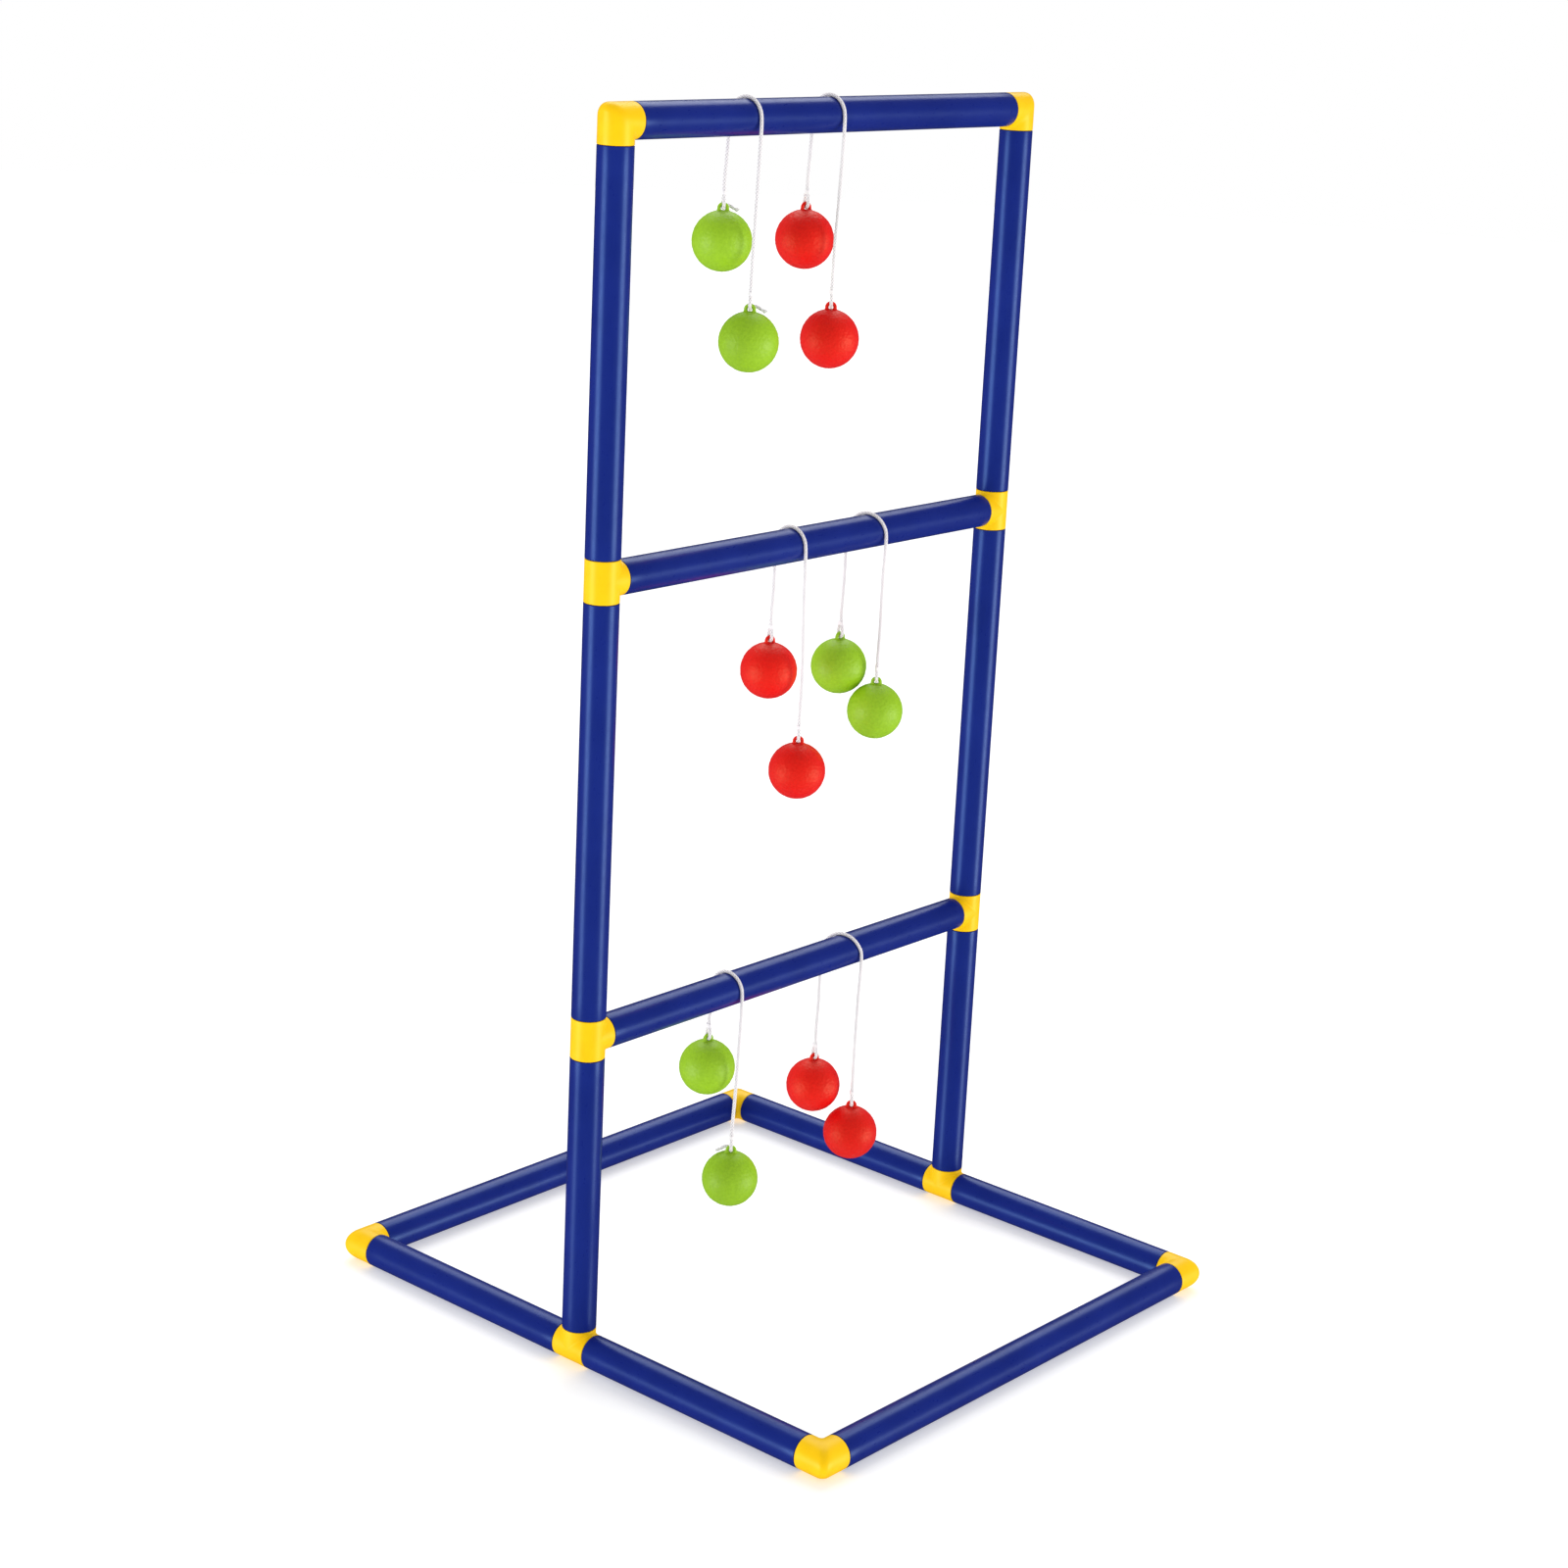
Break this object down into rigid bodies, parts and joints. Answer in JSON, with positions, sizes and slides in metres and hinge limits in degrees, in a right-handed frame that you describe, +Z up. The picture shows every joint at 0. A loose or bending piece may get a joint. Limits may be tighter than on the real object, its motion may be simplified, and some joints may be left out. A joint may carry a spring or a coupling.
{
  "type": "ladder toss frame",
  "caption": "Ladder toss frame for a lawn game: tube ladder with rungs on a rectangular base, joined by push-in elbows and tees, with ball-and-cord bolas hanging over the rungs.",
  "frame": {"origin": "on the floor at the centre of the base", "axes": "+Z up the ladder, +X along the rungs towards the right upright, +Y along the side rails towards the back"},
  "size_m": [0.455, 0.495, 0.903],
  "materials": {
    "tube_blue": "glossy extruded tube, royal blue",
    "fitting_yellow": "smooth moulded, bright yellow",
    "ball_green": "matte with a fine moulded grain, lime green",
    "ball_red": "matte with a fine moulded grain, red",
    "cord_white": "round braided cord, white"
  },
  "bodies": {
    "frame": {"rung_lower": "tube_blue", "rung_middle": "tube_blue", "rung_top": "tube_blue", "upright_left_lower": "tube_blue", "upright_left_middle": "tube_blue", "upright_left_upper": "tube_blue", "upright_right_lower": "tube_blue", "upright_right_middle": "tube_blue", "upright_right_upper": "tube_blue", "side_rail_left_front": "tube_blue", "side_rail_left_back": "tube_blue", "side_rail_right_front": "tube_blue", "side_rail_right_back": "tube_blue", "end_rail_front": "tube_blue", "end_rail_back": "tube_blue", "corner_left_front": "fitting_yellow", "corner_left_back": "fitting_yellow", "corner_right_front": "fitting_yellow", "corner_right_back": "fitting_yellow", "base_tee_left": "fitting_yellow", "base_tee_right": "fitting_yellow", "rung_tee_left_lower": "fitting_yellow", "rung_tee_left_middle": "fitting_yellow", "rung_tee_right_lower": "fitting_yellow", "rung_tee_right_middle": "fitting_yellow", "top_elbow_left": "fitting_yellow", "top_elbow_right": "fitting_yellow"},
    "bola_1": {"ball_1_front": "ball_green", "ball_1_back": "ball_green", "cord_1": "cord_white"},
    "bola_2": {"ball_2_front": "ball_red", "ball_2_back": "ball_red", "cord_2": "cord_white"},
    "bola_3": {"ball_3_front": "ball_red", "ball_3_back": "ball_red", "cord_3": "cord_white"},
    "bola_4": {"ball_4_front": "ball_green", "ball_4_back": "ball_green", "cord_4": "cord_white"},
    "bola_5": {"ball_5_front": "ball_green", "ball_5_back": "ball_green", "cord_5": "cord_white"},
    "bola_6": {"ball_6_front": "ball_red", "ball_6_back": "ball_red", "cord_6": "cord_white"}
  },
  "joints": [
    {"name": "bola_1_swing", "type": "hinge", "parent": "frame", "child": "bola_1", "pos_m": [0, 0, 0.8875], "axis": [1, 0, 0], "range_deg": [-75, 75]},
    {"name": "bola_2_swing", "type": "hinge", "parent": "frame", "child": "bola_2", "pos_m": [0, 0, 0.8875], "axis": [1, 0, 0], "range_deg": [-75, 75]},
    {"name": "bola_3_swing", "type": "hinge", "parent": "frame", "child": "bola_3", "pos_m": [0, 0, 0.5825], "axis": [1, 0, 0], "range_deg": [-75, 75]},
    {"name": "bola_4_swing", "type": "hinge", "parent": "frame", "child": "bola_4", "pos_m": [0, 0, 0.5825], "axis": [1, 0, 0], "range_deg": [-75, 75]},
    {"name": "bola_5_swing", "type": "hinge", "parent": "frame", "child": "bola_5", "pos_m": [0, 0, 0.2525], "axis": [1, 0, 0], "range_deg": [-75, 75]},
    {"name": "bola_6_swing", "type": "hinge", "parent": "frame", "child": "bola_6", "pos_m": [0, 0, 0.2525], "axis": [1, 0, 0], "range_deg": [-75, 75]}
  ]
}
